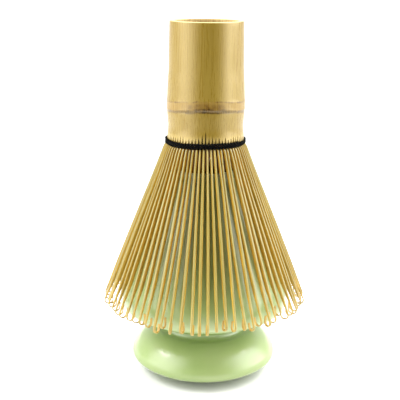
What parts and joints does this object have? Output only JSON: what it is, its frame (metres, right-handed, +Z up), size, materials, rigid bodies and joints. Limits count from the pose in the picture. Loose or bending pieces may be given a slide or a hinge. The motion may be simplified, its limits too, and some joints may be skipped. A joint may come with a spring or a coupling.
{
  "type": "bamboo tea whisk on its ceramic holder",
  "caption": "Bamboo tea whisk with a tubular handle, thread binding and splayed tines with curled tips, seated on a bell-shaped glazed ceramic holder with a spreading base.",
  "frame": {"origin": "centre of the foot of the holder, on the surface it stands on", "axes": "+Z up along the common axis of the whisk and its holder; X and Y are any two level directions, because the object is round"},
  "size_m": [0.073, 0.073, 0.127],
  "materials": {
    "celadon_glaze": "glossy pale green glaze",
    "handle_bamboo": "satin bamboo skin",
    "tine_bamboo": "split bamboo, satin",
    "inner_bamboo": "split bamboo, matte",
    "black_cotton": "twisted cotton thread"
  },
  "bodies": {
    "holder": {"whisk_holder": "celadon_glaze"},
    "whisk": {"bamboo_handle": "handle_bamboo", "binding_thread": "black_cotton", "inner_tines": "inner_bamboo"},
    "tines_01": {"outer_tines_01": "tine_bamboo"},
    "tines_02": {"outer_tines_02": "tine_bamboo"},
    "tines_03": {"outer_tines_03": "tine_bamboo"},
    "tines_04": {"outer_tines_04": "tine_bamboo"},
    "tines_05": {"outer_tines_05": "tine_bamboo"},
    "tines_06": {"outer_tines_06": "tine_bamboo"},
    "tines_07": {"outer_tines_07": "tine_bamboo"},
    "tines_08": {"outer_tines_08": "tine_bamboo"},
    "tines_09": {"outer_tines_09": "tine_bamboo"},
    "tines_10": {"outer_tines_10": "tine_bamboo"},
    "tines_11": {"outer_tines_11": "tine_bamboo"},
    "tines_12": {"outer_tines_12": "tine_bamboo"}
  },
  "joints": [
    {"name": "whisk_lift", "type": "slide", "parent": "holder", "child": "whisk", "axis": [0, 0, 1], "range_m": [0, 0.06]},
    {"name": "tine_flex_01", "type": "hinge", "parent": "whisk", "child": "tines_01", "pos_m": [0.0131, 0, 0.0856], "axis": [0, -1, 0], "range_deg": [0, 8], "stiffness_Nm_per_rad": 0.02, "springref_deg": -2.86},
    {"name": "tine_flex_02", "type": "hinge", "parent": "whisk", "child": "tines_02", "pos_m": [0.01134, 0.00655, 0.0856], "axis": [0.5, -0.866, 0], "range_deg": [0, 8], "stiffness_Nm_per_rad": 0.02, "springref_deg": -2.86},
    {"name": "tine_flex_03", "type": "hinge", "parent": "whisk", "child": "tines_03", "pos_m": [0.00655, 0.01134, 0.0856], "axis": [0.866, -0.5, 0], "range_deg": [0, 8], "stiffness_Nm_per_rad": 0.02, "springref_deg": -2.86},
    {"name": "tine_flex_04", "type": "hinge", "parent": "whisk", "child": "tines_04", "pos_m": [0, 0.0131, 0.0856], "axis": [1, 0, 0], "range_deg": [0, 8], "stiffness_Nm_per_rad": 0.02, "springref_deg": -2.86},
    {"name": "tine_flex_05", "type": "hinge", "parent": "whisk", "child": "tines_05", "pos_m": [-0.00655, 0.01134, 0.0856], "axis": [0.866, 0.5, 0], "range_deg": [0, 8], "stiffness_Nm_per_rad": 0.02, "springref_deg": -2.86},
    {"name": "tine_flex_06", "type": "hinge", "parent": "whisk", "child": "tines_06", "pos_m": [-0.01134, 0.00655, 0.0856], "axis": [0.5, 0.866, 0], "range_deg": [0, 8], "stiffness_Nm_per_rad": 0.02, "springref_deg": -2.86},
    {"name": "tine_flex_07", "type": "hinge", "parent": "whisk", "child": "tines_07", "pos_m": [-0.0131, 0, 0.0856], "axis": [0, 1, 0], "range_deg": [0, 8], "stiffness_Nm_per_rad": 0.02, "springref_deg": -2.86},
    {"name": "tine_flex_08", "type": "hinge", "parent": "whisk", "child": "tines_08", "pos_m": [-0.01134, -0.00655, 0.0856], "axis": [-0.5, 0.866, 0], "range_deg": [0, 8], "stiffness_Nm_per_rad": 0.02, "springref_deg": -2.86},
    {"name": "tine_flex_09", "type": "hinge", "parent": "whisk", "child": "tines_09", "pos_m": [-0.00655, -0.01134, 0.0856], "axis": [-0.866, 0.5, 0], "range_deg": [0, 8], "stiffness_Nm_per_rad": 0.02, "springref_deg": -2.86},
    {"name": "tine_flex_10", "type": "hinge", "parent": "whisk", "child": "tines_10", "pos_m": [0, -0.0131, 0.0856], "axis": [-1, 0, 0], "range_deg": [0, 8], "stiffness_Nm_per_rad": 0.02, "springref_deg": -2.86},
    {"name": "tine_flex_11", "type": "hinge", "parent": "whisk", "child": "tines_11", "pos_m": [0.00655, -0.01134, 0.0856], "axis": [-0.866, -0.5, 0], "range_deg": [0, 8], "stiffness_Nm_per_rad": 0.02, "springref_deg": -2.86},
    {"name": "tine_flex_12", "type": "hinge", "parent": "whisk", "child": "tines_12", "pos_m": [0.01134, -0.00655, 0.0856], "axis": [-0.5, -0.866, 0], "range_deg": [0, 8], "stiffness_Nm_per_rad": 0.02, "springref_deg": -2.86}
  ]
}
